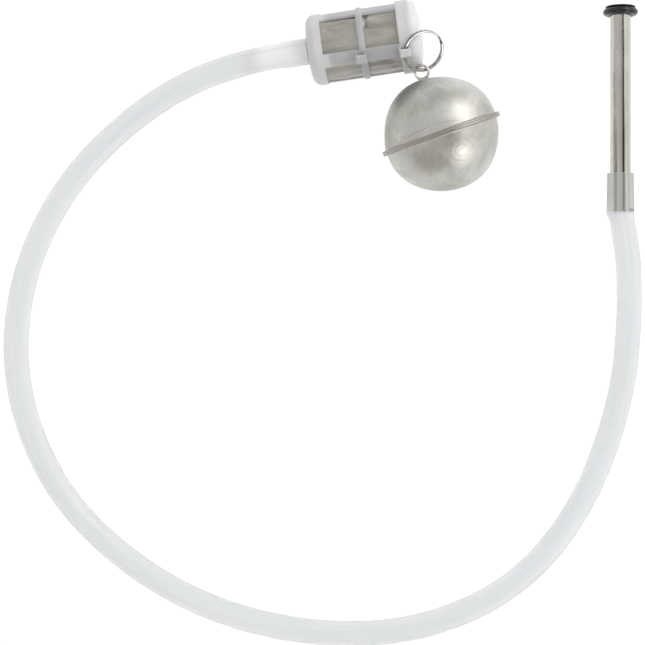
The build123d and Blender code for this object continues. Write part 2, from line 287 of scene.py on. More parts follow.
def srgb(code):
    """Linear colour of an sRGB hex code."""
    values = [int(code[k:k + 2], 16) / 255 for k in (1, 3, 5)]
    return tuple(v / 12.92 if v <= 0.04045 else ((v + 0.055) / 1.055)**2.4
                 for v in values) + (1.0,)


def add(tree, kind, inputs=None, **settings):
    """Adds a node; its inputs are values or the sockets that they are linked to."""
    node = tree.nodes.new(kind)
    for name, value in settings.items():
        setattr(node, name, value)
    for name, value in (inputs or {}).items():
        socket = next((i for i in node.inputs if i.name == name and i.enabled), None)
        socket = socket or node.inputs[name]
        if isinstance(value, bpy.types.NodeSocket):
            tree.links.new(value, socket)
        else:
            socket.default_value = value
    return node


def ramp(tree, factor, *stops):
    """Colour ramp through (position, hex colour) stops."""
    node = add(tree, "ShaderNodeValToRGB", {"Fac": factor})
    while len(node.color_ramp.elements) < len(stops):
        node.color_ramp.elements.new(0.5)
    for element, (position, code) in zip(node.color_ramp.elements, stops):
        element.position, element.color = position, srgb(code)
    return node.outputs["Color"]


def mixed_colour(mix):
    """Colour output of a Mix node."""
    return next(o for o in mix.outputs if o.name == "Result" and o.type == "RGBA")


def start_material(name):
    """New material: its tree, its shader, and its object coordinates in millimetres."""
    material = bpy.data.materials.new(name)
    material.use_nodes = True
    tree = material.node_tree
    shader = tree.nodes["Principled BSDF"]
    place = add(tree, "ShaderNodeTexCoord")
    scaled = add(tree, "ShaderNodeVectorMath", {0: place.outputs["Object"], "Scale": 1 / MM},
                 operation="SCALE")
    return material, tree, shader, scaled.outputs["Vector"]


def row_place(tree):
    """Coordinates at rest in the row frame, in millimetres, whatever the piece's own frame."""
    place = add(tree, "ShaderNodeTexCoord", object=row_origin)
    return add(tree, "ShaderNodeVectorMath", {0: place.outputs["Object"], "Scale": 1 / MM},
               operation="SCALE").outputs["Vector"]


def set_sockets(shader, **values):
    for name, value in values.items():
        shader.inputs[name.replace("_", " ")].default_value = value


# ---------------------------------------------------------------- materials
def silicone():
    """Extruded platinum-cured silicone hose: clear rubber that looks milky in a thick wall and
    white over the white spigot, with a dull skin and long faint die lines."""
    material, tree, shader, place = start_material("extruded_silicone")
    uv = add(tree, "ShaderNodeUVMap", uv_map="mm").outputs["UV"]
    lines = add(tree, "ShaderNodeMapping", {"Vector": uv, "Scale": (0.012, 0.55, 1.0)})
    streaks = add(tree, "ShaderNodeTexNoise", {"Vector": lines.outputs["Vector"], "Scale": 1.0,
                                               "Detail": 2.0})
    shader_colour = ramp(tree, streaks.outputs["Fac"], (0.35, "#f4f7f9"), (0.65, "#ffffff"))
    tree.links.new(shader_colour, shader.inputs["Base Color"])
    haze = add(tree, "ShaderNodeTexNoise", {"Vector": place, "Scale": 2.2, "Detail": 3.0})
    bump = add(tree, "ShaderNodeBump", {"Height": haze.outputs["Fac"], "Strength": 0.08,
                                        "Distance": 0.0002})
    tree.links.new(bump.outputs["Normal"], shader.inputs["Normal"])
    from_spigot = add(tree, "ShaderNodeVectorMath",
                      {0: row_place(tree), 1: Vector(HOSE_ROUTE[-1]) / MM},
                      operation="DISTANCE").outputs["Value"]
    backed = add(tree, "ShaderNodeMapRange", {"Value": from_spigot, "From Min": 8.0,
                                              "From Max": 20.0, "To Min": 0.15, "To Max": 0.85},
                 interpolation_type="SMOOTHSTEP")
    tree.links.new(backed.outputs["Result"], shader.inputs["Transmission Weight"])
    set_sockets(shader, Roughness=0.3, IOR=1.41)
    return material


# Where the cage is thin, in millimetres along the filter: the plastic turns clearer over the
# first stretch, just past the end disc, and milky again over the second, at the collar.
PAST_DISC = (2.5, 4.5)
PAST_RIBS = (29.5, 31.0)


def moulded_polypropylene(name, light, dark, thick_clearness, thin_clearness):
    """Injection-moulded natural polypropylene: milky, satin from the mould's fine texture,
    and clearer in the thin ribs between the end disc and the collar."""
    material, tree, shader, place = start_material(name)
    cloud = add(tree, "ShaderNodeTexNoise", {"Vector": place, "Scale": 0.12, "Detail": 4.0})
    tree.links.new(ramp(tree, cloud.outputs["Fac"], (0.3, dark), (0.7, light)),
                   shader.inputs["Base Color"])
    grain = add(tree, "ShaderNodeTexNoise", {"Vector": place, "Scale": 3.0, "Detail": 2.0})
    bump = add(tree, "ShaderNodeBump", {"Height": grain.outputs["Fac"], "Strength": 0.12,
                                        "Distance": 0.0002})
    tree.links.new(bump.outputs["Normal"], shader.inputs["Normal"])
    axis = unit(FILTER_HEADING, FILTER_TILT)
    start = filter_place().translation.dot(axis) / MM
    along = add(tree, "ShaderNodeVectorMath", {0: row_place(tree), 1: axis},
                operation="DOT_PRODUCT").outputs["Value"]
    past_disc = add(tree, "ShaderNodeMapRange", {"Value": along, "From Min": start + PAST_DISC[0],
                                                 "From Max": start + PAST_DISC[1]})
    past_ribs = add(tree, "ShaderNodeMapRange", {"Value": along, "From Min": start + PAST_RIBS[1],
                                                 "From Max": start + PAST_RIBS[0]})
    thin = add(tree, "ShaderNodeMath", {0: past_disc.outputs["Result"],
                                        1: past_ribs.outputs["Result"]}, operation="MULTIPLY")
    clear = add(tree, "ShaderNodeMapRange", {"Value": thin.outputs["Value"],
                                             "To Min": thick_clearness, "To Max": thin_clearness})
    tree.links.new(clear.outputs["Result"], shader.inputs["Transmission Weight"])
    set_sockets(shader, Roughness=0.38, IOR=1.49)
    return material


# Painted dark reflection streaks on the dip tube: heading round it and half width in degrees,
# and the height in millimetres at which each has faded out.
PAINTED_REFLECTION_STREAKS = [(11, 9, 46), (-34, 8, 36), (40, 4, 30)]
REFLECTION_STREAK_FADE = 18         # length over which a streak fades
REFLECTION_STREAK_STRENGTH = 0.75
DARK_FLANGE_BLEND = 0.3        # height over which the flange's painted dark reflection and shade begins


def drawn_steel():
    """Drawn stainless tube: bright, with fine lines along its length and handling haze; its
    flange is painted near black, standing for its dark reflection and shade."""
    material, tree, shader, place = start_material("drawn_stainless_steel")
    lines = add(tree, "ShaderNodeMapping", {"Vector": place, "Scale": (4.0, 4.0, 0.05)})
    draw = add(tree, "ShaderNodeTexNoise", {"Vector": lines.outputs["Vector"], "Scale": 1.0,
                                            "Detail": 3.0})
    haze = add(tree, "ShaderNodeTexNoise", {"Vector": place, "Scale": 0.15, "Detail": 5.0})
    steel = ramp(tree, haze.outputs["Fac"], (0.3, "#bfbcb6"), (0.7, "#cfcdc8"))
    split = add(tree, "ShaderNodeSeparateXYZ", {"Vector": place}).outputs
    height = split["Z"]
    # Painted dark reflection and shade: the flange is painted near black from here up.
    dark_flange_mask = add(tree, "ShaderNodeMapRange", {"Value": height,
                                              "From Min": FLANGE_UNDER - DARK_FLANGE_BLEND,
                                              "From Max": FLANGE_UNDER})
    dark_flange_mix = add(tree, "ShaderNodeMix", {"Factor": dark_flange_mask.outputs["Result"], "A": steel,
                                          "B": srgb("#2b2c2e")}, data_type="RGBA")
    colour = mixed_colour(dark_flange_mix)
    around = add(tree, "ShaderNodeMath", {0: split["Y"], 1: split["X"]}, operation="ARCTAN2")
    # Each streak is a dark reflection band painted along the lower tube.
    for reflection_at, half_width, fades_at in PAINTED_REFLECTION_STREAKS:
        away = add(tree, "ShaderNodeMath", {0: around.outputs["Value"],
                                            1: math.radians(reflection_at)}, operation="SUBTRACT")
        away = add(tree, "ShaderNodeMath", {0: away.outputs["Value"]}, operation="ABSOLUTE")
        near = add(tree, "ShaderNodeMapRange", {"Value": away.outputs["Value"],
                                                "From Min": math.radians(half_width),
                                                "From Max": 0.0, "To Max": REFLECTION_STREAK_STRENGTH},
                   interpolation_type="SMOOTHSTEP")
        low = add(tree, "ShaderNodeMapRange", {"Value": height, "From Min": fades_at,
                                               "From Max": fades_at - REFLECTION_STREAK_FADE})
        factor = add(tree, "ShaderNodeMath", {0: near.outputs["Result"],
                                              1: low.outputs["Result"]}, operation="MULTIPLY")
        reflection_streak = add(tree, "ShaderNodeMix", {"Factor": factor.outputs["Value"], "A": colour,
                                             "B": srgb("#3f3c34")}, data_type="RGBA")
        colour = mixed_colour(reflection_streak)
    tree.links.new(colour, shader.inputs["Base Color"])
    rough = add(tree, "ShaderNodeMapRange", {"Value": haze.outputs["Fac"], "To Min": 0.1,
                                             "To Max": 0.17})
    tree.links.new(rough.outputs["Result"], shader.inputs["Roughness"])
    bump = add(tree, "ShaderNodeBump", {"Height": draw.outputs["Fac"], "Strength": 0.15,
                                        "Distance": 0.00005})
    tree.links.new(bump.outputs["Normal"], shader.inputs["Normal"])
    set_sockets(shader, Metallic=1.0)
    return material


# Stains and painted shade on the float: place from its centre in the row frame, reach and strength.
STAINS_AND_PAINTED_SHADE = [
    ((-15.6, 13.8, 6.9), 15.0, 0.5), ((-6.0, -12.6, 16.9), 9.0, 0.5), ((2.0, -3.2, 21.6), 5.5, 0.4),
    ((-20.5, 0.0, 6.0), 13.0, 0.7), ((-13.0, 3.0, 17.0), 9.0, 0.2), ((1.0, -21.0, 4.0), 13.0, 0.55),
    ((14.0, -10.0, -14.0), 12.0, 0.4), ((-5.0, 8.0, -20.0), 13.0, 0.4),
]
SWIRL_AT = (6.1, -7.9, 19.5)     # middle of a dried drop's rings on the float
SWIRL_RADII = (2.4, 4.7)
SWIRL_WANDER = 5.0       # how far the drop's rings stray from round
SWIRL_WIDTH = 0.35       # half the width of a ring
TIDE_LEVEL = -3.3        # height of the faint line left by standing liquid
TIDE_WANDER = -9.0
TIDE_WIDTH = 0.12
TIDE_STRENGTH = 0.4
SPECK_SHARE = 0.35       # how much the fine specks break up the clouds
LIP_EDGE_SHADE = (0.6, 0.2)    # painted shade on the lip begins and is full this far inside the lip's edge
LIP_SHADE_LINE = (0.4, 0.1)        # and its darker painted shade line, this far below the lip's outer side


def spun_steel():
    """Spun stainless hemisphere, pickled and tumbled: satin, warm grey, with cloudy stains and
    dark patches that are mostly painted shade and dark reflection, faint rings round the pole left
    by the spinning roller, dried drops, and a lip painted darker towards its edge, with a painted
    shade line just below its outer side."""
    material, tree, shader, place = start_material("spun_stainless_steel")
    clouds = add(tree, "ShaderNodeTexNoise", {"Vector": place, "Scale": 0.075, "Detail": 6.0,
                                              "Roughness": 0.62, "Distortion": 0.6})
    specks = add(tree, "ShaderNodeTexNoise", {"Vector": place, "Scale": 0.5, "Detail": 5.0,
                                              "Roughness": 0.7})
    mixed = add(tree, "ShaderNodeMath", {0: specks.outputs["Fac"], 1: SPECK_SHARE,
                                         2: clouds.outputs["Fac"]}, operation="MULTIPLY_ADD")
    colour = ramp(tree, mixed.outputs["Value"], (0.5, "#b6b5b0"), (0.66, "#c6c5c0"),
                  (0.84, "#d5d4d0"))

    def darken(factor, shade):
        mix = add(tree, "ShaderNodeMix", {"Factor": factor, "A": colour, "B": srgb(shade)},
                  data_type="RGBA")
        return mixed_colour(mix)

    turn = float_place().to_3x3().inverted()
    # Most patches are painted shade and dark reflection, where the float faces the cage and its
    # shadow; the rest are stains.
    for centre, reach, strength in STAINS_AND_PAINTED_SHADE:
        gap = add(tree, "ShaderNodeVectorMath", {0: place, 1: turn @ Vector(centre)},
                  operation="DISTANCE").outputs["Value"]
        gap = add(tree, "ShaderNodeMath", {0: specks.outputs["Fac"], 1: reach * 0.5, 2: gap},
                  operation="MULTIPLY_ADD").outputs["Value"]
        near = add(tree, "ShaderNodeMapRange", {"Value": gap, "From Min": reach * 1.25,
                                                "From Max": reach * 0.25, "To Max": strength},
                   interpolation_type="SMOOTHSTEP")
        colour = darken(near.outputs["Result"], "#918f84")
    blots = add(tree, "ShaderNodeTexNoise", {"Vector": place, "Scale": 0.2, "Detail": 2.0})
    patchy = add(tree, "ShaderNodeMapRange", {"Value": blots.outputs["Fac"], "From Min": 0.4,
                                              "From Max": 0.55, "To Max": 0.26})
    from_drop = add(tree, "ShaderNodeVectorMath", {0: place, 1: turn @ Vector(SWIRL_AT)},
                    operation="DISTANCE").outputs["Value"]
    from_drop = add(tree, "ShaderNodeMath", {0: blots.outputs["Fac"], 1: SWIRL_WANDER, 2: from_drop},
                    operation="MULTIPLY_ADD").outputs["Value"]
    for radius in SWIRL_RADII:
        off = add(tree, "ShaderNodeMath", {0: from_drop, 1: radius + SWIRL_WANDER / 2,
                                           2: SWIRL_WIDTH}, operation="COMPARE")
        seen = add(tree, "ShaderNodeMath", {0: off.outputs["Value"],
                                            1: patchy.outputs["Result"]}, operation="MULTIPLY")
        colour = darken(seen.outputs["Value"], "#96937f")
    height = add(tree, "ShaderNodeSeparateXYZ", {"Vector": place}).outputs["Z"]
    wander = add(tree, "ShaderNodeTexNoise", {"Vector": place, "Scale": 0.07, "Detail": 1.0})
    sway = add(tree, "ShaderNodeMath", {0: wander.outputs["Fac"], 1: TIDE_WANDER, 2: height},
               operation="MULTIPLY_ADD")
    tide = add(tree, "ShaderNodeMath", {0: sway.outputs["Value"], 1: TIDE_LEVEL, 2: TIDE_WIDTH},
               operation="COMPARE")
    faint = add(tree, "ShaderNodeMath", {0: tide.outputs["Value"], 1: TIDE_STRENGTH},
                operation="MULTIPLY")
    colour = darken(faint.outputs["Value"], "#8f8c82")
    flat = add(tree, "ShaderNodeVectorMath", {0: place, 1: (1, 1, 0)}, operation="MULTIPLY")
    from_axis = add(tree, "ShaderNodeVectorMath", {0: flat.outputs["Vector"]},
                    operation="LENGTH").outputs["Value"]
    # Painted shade along the seam: the lip is painted darker towards its edge, with a darker painted
    # shade line just below its outer side.
    rim = add(tree, "ShaderNodeMapRange", {"Value": from_axis,
                                           "From Min": LIP_EDGE - LIP_EDGE_SHADE[0],
                                           "From Max": LIP_EDGE - LIP_EDGE_SHADE[1],
                                           "To Max": 0.7})
    colour = darken(rim.outputs["Result"], "#b0aba7")
    off_seam = add(tree, "ShaderNodeMath", {0: height}, operation="ABSOLUTE")
    edge = add(tree, "ShaderNodeMapRange", {"Value": off_seam.outputs["Value"],
                                            "From Min": LIP_SIDE - LIP_SHADE_LINE[0],
                                            "From Max": LIP_SIDE - LIP_SHADE_LINE[1]})
    lip_shade_line = add(tree, "ShaderNodeMath", {0: rim.outputs["Result"], 1: edge.outputs["Result"]},
               operation="MULTIPLY")
    colour = darken(lip_shade_line.outputs["Value"], "#6b6661")
    tree.links.new(colour, shader.inputs["Base Color"])
    rough = add(tree, "ShaderNodeMapRange", {"Value": specks.outputs["Fac"], "From Min": 0.3,
                                             "From Max": 0.7, "To Min": 0.38, "To Max": 0.5})
    tree.links.new(rough.outputs["Result"], shader.inputs["Roughness"])
    rings = add(tree, "ShaderNodeTexWave", {"Vector": place, "Scale": 0.25, "Distortion": 1.5,
                                            "Detail": 2.0},
                wave_type="BANDS", bands_direction="Z")
    bump = add(tree, "ShaderNodeBump", {"Height": rings.outputs["Fac"], "Strength": 0.05,
                                        "Distance": 0.0003})
    dents = add(tree, "ShaderNodeBump", {"Height": specks.outputs["Fac"], "Strength": 0.1,
                                         "Distance": 0.0004, "Normal": bump.outputs["Normal"]})
    tree.links.new(dents.outputs["Normal"], shader.inputs["Normal"])
    set_sockets(shader, Metallic=1.0)
    return material


def tempered_strip(name, dark, light, roughness):
    """Hardened steel strip or wire: a straw-brown temper tint mottled with brighter steel."""
    material, tree, shader, place = start_material(name)
    tint = add(tree, "ShaderNodeTexNoise", {"Vector": place, "Scale": 0.35, "Detail": 3.0})
    tree.links.new(ramp(tree, tint.outputs["Fac"], (0.35, dark), (0.65, light)),
                   shader.inputs["Base Color"])
    scratches = add(tree, "ShaderNodeTexNoise", {"Vector": place, "Scale": 4.0, "Detail": 2.0})
    bump = add(tree, "ShaderNodeBump", {"Height": scratches.outputs["Fac"], "Strength": 0.1,
                                        "Distance": 0.00005})
    tree.links.new(bump.outputs["Normal"], shader.inputs["Normal"])
    set_sockets(shader, Metallic=1.0, Roughness=roughness)
    return material


WEAVE_BIAS = 33          # turn of the wires from the filter's axis, in degrees
WEAVE_PITCH = 0.62       # drawn nearly three times as coarse as real 0.2 mm cloth, to show


def woven_steel():
    """Plain-woven stainless wire cloth, rolled on the bias: fine diagonal ribs with dark gaps
    between the wires."""
    material, tree, shader, place = start_material("woven_stainless_cloth")
    uv = add(tree, "ShaderNodeUVMap", uv_map="mm").outputs["UV"]
    turned_uv = add(tree, "ShaderNodeMapping", {"Vector": uv,
                                                "Rotation": (0, 0, math.radians(WEAVE_BIAS))})
    waves = []
    for direction in ("X", "Y"):
        waves.append(add(tree, "ShaderNodeTexWave",
                         {"Vector": turned_uv.outputs["Vector"],
                          "Scale": 2 * math.pi / (20 * WEAVE_PITCH), "Distortion": 0.15},
                         wave_type="BANDS", bands_direction=direction))
    warp = add(tree, "ShaderNodeMath", {0: waves[0].outputs["Fac"], 1: 0.1},
               operation="MULTIPLY")
    weave = add(tree, "ShaderNodeMath", {0: waves[1].outputs["Fac"], 1: 0.9,
                                         2: warp.outputs["Value"]}, operation="MULTIPLY_ADD")
    ribs = add(tree, "ShaderNodeMath", {0: weave.outputs["Value"], 1: 0.52},
               operation="MULTIPLY")
    drawn_out = add(tree, "ShaderNodeMapping", {"Vector": place, "Scale": (1.0, 1.0, 0.35)})
    patches = add(tree, "ShaderNodeTexNoise", {"Vector": drawn_out.outputs["Vector"],
                                               "Scale": 0.38, "Detail": 3.0})
    toned = add(tree, "ShaderNodeMath", {0: patches.outputs["Fac"], 1: 0.5,
                                         2: ribs.outputs["Value"]}, operation="MULTIPLY_ADD")
    tree.links.new(ramp(tree, toned.outputs["Value"], (0.2, "#7b7972"), (0.5, "#a4a29b"),
                        (0.78, "#d0cec8")), shader.inputs["Base Color"])
    bump = add(tree, "ShaderNodeBump", {"Height": weave.outputs["Value"], "Strength": 0.3,
                                        "Distance": 0.0001})
    tree.links.new(bump.outputs["Normal"], shader.inputs["Normal"])
    set_sockets(shader, Metallic=0.6, Roughness=0.45)
    return material


def nitrile_rubber():
    """Moulded nitrile O-ring: black, slightly oily gloss."""
    material, tree, shader, place = start_material("moulded_nitrile_rubber")
    dust = add(tree, "ShaderNodeTexNoise", {"Vector": place, "Scale": 1.4, "Detail": 4.0})
    tree.links.new(ramp(tree, dust.outputs["Fac"], (0.35, "#0b0b0c"), (0.75, "#1c1c1e")),
                   shader.inputs["Base Color"])
    rough = add(tree, "ShaderNodeMapRange", {"Value": dust.outputs["Fac"], "To Min": 0.16,
                                             "To Max": 0.34})
    tree.links.new(rough.outputs["Result"], shader.inputs["Roughness"])
    set_sockets(shader, IOR=1.52)
    return material


# ---------------------------------------------------------------- hose
HOSE_SIDES = 48
ROUTE_STEPS = 14         # line points read for each point of the route
OVER_TUBE = (HOSE_ON_TUBE, 14.5, 12, 9, 6, 3, 1.5, 0.6)     # line points over the tube
OVER_SPIGOT = (0.6, 1.5, 3, 5, 7, 8.7, HOSE_ON_SPIGOT)     # and over the spigot
GRIP = 0.03              # how far the rubber sinks into what it is stretched over


def route_line():
    """Points down the middle of the hose, read from the route's NURBS, with the straight
    stretches over the dip tube and the spigot."""
    curve = bpy.data.curves.new("hose_route", "CURVE")
    curve.dimensions, curve.resolution_u = "3D", ROUTE_STEPS
    spline = curve.splines.new("NURBS")
    spline.points.add(len(HOSE_ROUTE) - 1)
    for point, at in zip(spline.points, HOSE_ROUTE):
        point.co = (*at, 1.0)
    spline.order_u, spline.use_endpoint_u = 3, True
    bare = bpy.data.objects.new("hose_route", curve)
    mesh = bpy.data.meshes.new_from_object(bare)
    line = [v.co.copy() for v in mesh.vertices]
    bpy.data.meshes.remove(mesh)
    bpy.data.curves.remove(curve)
    tube_up = Vector((0, 1, 0))
    into_filter = unit(FILTER_HEADING, FILTER_TILT)
    over_tube = [line[0] + tube_up * (d * MM) for d in OVER_TUBE]
    over_spigot = [line[-1] + into_filter * (d * MM) for d in OVER_SPIGOT]
    return over_tube + line + over_spigot


def stretched(inner):
    """Outer radius of the hose's wall once it is stretched over a part of radius inner."""
    return math.sqrt(inner**2 + (HOSE_OD / 2)**2 - (HOSE_ID / 2)**2)


def eased(distance, length):
    """0 before a stretch, 1 after it, and a soft step between."""
    t = min(max(distance / length, 0.0), 1.0)
    return t * t * (3 - 2 * t)


def hose_radii(at, total):
    """Outer and inner radius of the hose at a distance from its cut end, in millimetres."""
    free, bore = HOSE_OD / 2, HOSE_ID / 2
    tube, spigot = TUBE_OD / 2, SPIGOT_OD / 2
    past_tube = eased(at - HOSE_ON_TUBE, NECK_LENGTH)
    past_spigot = eased(total - at - HOSE_ON_SPIGOT, NECK_LENGTH)
    rim = CUT_END_THINNING * max(0.0, 1 - at / HOSE_ON_TUBE)
    outer = free + (stretched(tube) - rim - free) * (1 - past_tube)
    outer += (stretched(spigot) - free) * (1 - past_spigot)
    inner = bore + (tube - bore) * (1 - past_tube) + (spigot - bore) * (1 - past_spigot)
    return outer, inner - GRIP * (2 - past_tube - past_spigot)


def make_hose():
    """Thick-walled hose, wider where it is stretched over the tube and the spigot."""
    line = route_line()
    distances = [0.0]
    for a, b in zip(line, line[1:]):
        distances.append(distances[-1] + (b - a).length / MM)
    side = Vector((1, 0, 0))
    outside, inside = [], []
    for i, centre in enumerate(line):
        tangent = (line[min(i + 1, len(line) - 1)] - line[max(i - 1, 0)]).normalized()
        side = (side - tangent * side.dot(tangent)).normalized()
        up = side.cross(tangent) if side.cross(tangent).z > 0 else tangent.cross(side)
        radii = hose_radii(distances[i], distances[-1])
        for rings, radius in zip((outside, inside), radii):
            ring = []
            for k in range(HOSE_SIDES):
                angle = 2 * math.pi * k / HOSE_SIDES
                ring.append(centre / MM + (up * math.cos(angle) + side * math.sin(angle)) * radius)
            rings.append(ring)
    hose = skin("silicone_hose", outside + inside[::-1], Matrix())
    dress(hose, silicone(), "line", "silicone", "hose")
    tuple(line[0])
    [tuple(p) for p in line]


make_hose()


# ---------------------------------------------------------------- dip tube and O-ring
def make_dip_tube():
    """Flanged tube; the flange is rolled over, so its edge is round."""
    outer, bore = TUBE_OD / 2, TUBE_OD / 2 - TUBE_WALL
    profile = soft([(bore, 0, 0.1), (outer, 0, 0.15), (outer, FLANGE_UNDER, 0.25),
                    (FLANGE_OD / 2, FLANGE_UNDER, 0.45), (FLANGE_OD / 2, TUBE_LENGTH, 0.55),
                    (bore, TUBE_LENGTH, 0.5)])
    tube = turned("flanged_dip_tube", profile, tube_place())
    dress(tube, drawn_steel(), "line", "tube_steel", "dip_tube")


FLASH = 0.03             # height of the mould's flash line
CORD_SIDES = 40


def make_o_ring():
    """Round rubber cord with the fine flash line of its mould round the outside."""
    radius = SEAL_SECTION / 2
    middle_at = FLANGE_UNDER - radius
    profile = []
    for k in range(CORD_SIDES):
        angle = 2 * math.pi * k / CORD_SIDES
        flash = FLASH if k == 0 else 0.0
        profile.append(Vector((TUBE_OD / 2 + radius + (radius - FLASH + flash) * math.cos(angle),
                               middle_at + radius * math.sin(angle))))
    ring = turned("o_ring", profile, tube_place())
    dress(ring, nitrile_rubber(), "line", "seal_rubber", "dip_tube_o_ring")


# ---------------------------------------------------------------- filter
# Creases in the screen: (angle in degrees from the top, distance along) ends, half width and
# depth in millimetres. Angles are negative on the side away from the float.
CREASES = [
    ((-49, 18.9), (-23, 18.3), 0.8, 0.55), ((-23, 18.3), (-15, 29.5), 0.8, 0.5),
    ((-58, 3.0), (-52, 13.5), 1.1, 0.4), ((-38, 2.5), (-36, 14.5), 0.9, 0.35),
    ((-26, 4.0), (-10, 9.0), 1.2, 0.3), ((-66, 19.5), (-60, 30.0), 1.0, 0.4),
    ((48, 4.0), (52, 29.0), 1.2, 0.35), ((72, 3.0), (66, 28.0), 1.1, 0.3),
    ((160, 3.0), (150, 28.0), 1.3, 0.4), ((-120, 5.0), (-135, 26.0), 1.3, 0.4),
]
CREASE_PEAK = 1.5        # how much deeper than listed a crease is along its middle
BIAS_DENT = 0.3          # the cloth's general unevenness
HELD_END = 2.5           # length at each end that the cage holds round
CLOTH_SINK = 0.02        # how far the cloth lies inside the ribs
CLOTH_SPACING = 0.45     # largest gap between the mesh's points
CLOTH_TURNS = 220


def crease_depth(angle, along):
    """How far the screen is pushed in at an angle in degrees and a distance along."""
    arc = math.pi / 180 * SCREEN_OD / 2
    here = Vector((angle * arc, along))
    depth = 0.0
    for first, last, width, push in CREASES:
        a = Vector((first[0] * arc, first[1]))
        b = Vector((last[0] * arc, last[1]))
        t = min(max((here - a).dot(b - a) / (b - a).length_squared, 0.0), 1.0)
        depth += CREASE_PEAK * push * math.exp(-((here - a.lerp(b, t)).length / width)**2)
    return depth


def make_screen():
    """Rolled wire cloth, creased and uneven between the ribs."""
    outer = SCREEN_OD / 2
    inner = outer - SCREEN_WALL
    profile = dense([Vector(p) for p in ((outer, 0), (outer, SCREEN_LENGTH),
                                         (inner, SCREEN_LENGTH), (inner, 0))],
                    CLOTH_SPACING)

    def reshape(point):
        angle = math.degrees(math.atan2(point.y, point.x))
        ends = eased(point.z, HELD_END) * eased(SCREEN_LENGTH - point.z, HELD_END)
        dent = BIAS_DENT * (0.5 + noise.noise(point * 0.22)) + crease_depth(angle, point.z)
        radius = math.hypot(point.x, point.y)
        shrunk = 1 - CLOTH_SINK / radius - max(dent, 0.0) * ends / radius
        return Vector((point.x * shrunk, point.y * shrunk, point.z))

    screen = turned("woven_screen", profile, filter_place(), CLOTH_TURNS, reshape)
    dress(screen, woven_steel(), "line", "screen_steel", "filter_screen")


def make_end_cap():
    """Plug with a low crown and a well-rounded edge, hollow behind."""
    height = CAP_TOP - CAP_CROWN - COLLAR_TOP
    steps = 12
    quarter = [math.pi / 2 * k / steps for k in range(steps + 1)]
    edge = [Vector((CAP_SHOULDER + (CAP_EDGE - CAP_SHOULDER) * math.cos(a),
                    COLLAR_TOP + CAP_BRIM + (height - CAP_BRIM) * math.sin(a))) for a in quarter]
    crown = [Vector((CAP_SHOULDER * (1 - k / steps), CAP_TOP - CAP_CROWN * (1 - k / steps)**2))
             for k in range(1, steps + 1)]
    skirt, seat = SCREEN_OD / 2, SCREEN_OD / 2 - CAP_SKIRT_WALL
    inside = soft([(0, CAP_TOP - CAP_WALL, 0),
                   (seat - CAP_ROOF_BEVEL, CAP_TOP - CAP_CROWN - CAP_WALL, 1.0),
                   (seat, COLLAR_TOP, 0.8), (seat, SCREEN_LENGTH, 0.2),
                   (skirt, SCREEN_LENGTH, 0.2), (skirt, COLLAR_TOP, 0),
                   (CAP_EDGE, COLLAR_TOP, 0)])
    cap = turned("end_cap", edge + crown + inside, filter_place())
    dress(cap, moulded_polypropylene("moulded_end_cap", "#e9eaec", "#e2e3e5", thick_clearness=0.1,
                                     thin_clearness=0.1),
          "line", "cap_plastic", "filter_end_cap")


# ---------------------------------------------------------------- split ring and float
STRIP_ROUNDING = 0.14


def make_split_ring():
    """Hardened strip wound in two flat turns, with a short slanted jog and two free ends."""
    radius = (RING_OD - STRIP_WIDTH) / 2
    layer = (STRIP_THICKNESS + TURN_GAP) / 2
    flat_arc = 360 - JOG_ANGLE
    total = 2 * flat_arc + JOG_ANGLE
    section = soft([(-STRIP_WIDTH / 2, -STRIP_THICKNESS / 2, STRIP_ROUNDING),
                    (STRIP_WIDTH / 2, -STRIP_THICKNESS / 2, STRIP_ROUNDING),
                    (STRIP_WIDTH / 2, STRIP_THICKNESS / 2, STRIP_ROUNDING),
                    (-STRIP_WIDTH / 2, STRIP_THICKNESS / 2, STRIP_ROUNDING)], 3)
    rings = []
    steps = round(total / 2)
    for i in range(steps + 1):
        turn = total * i / steps
        angle = math.radians(JOG_AT + JOG_ANGLE / 2 + turn)
        height = layer * (2 * eased(turn - flat_arc, JOG_ANGLE) - 1)
        out = Vector((math.cos(angle), math.sin(angle), 0))
        rings.append([out * (radius + p.x) + Vector((0, 0, height + p.y)) for p in section])
    ring = skin("split_ring_strip", rings, split_ring_place(), closed=False)
    dress(ring, tempered_strip("tempered_spring_steel", "#8c8884", "#b2afab", roughness=0.16),
          "split_ring", "ring_steel", "split_ring")


ROOT_RISE = 1.1          # height of the rounding where the lip leaves the ball
SEAM_GROOVE = 0.16       # bevel on each lip where the two halves meet
SQUARENESS = 0.3         # how far the ball is pressed out of round
UNEVENNESS = 0.12        # how far its wall strays besides that
BALL_SINK = 0.05
LIP_WAVE = 0.03
STIFF_BAND = 6.0         # height over which the lip holds the ball round


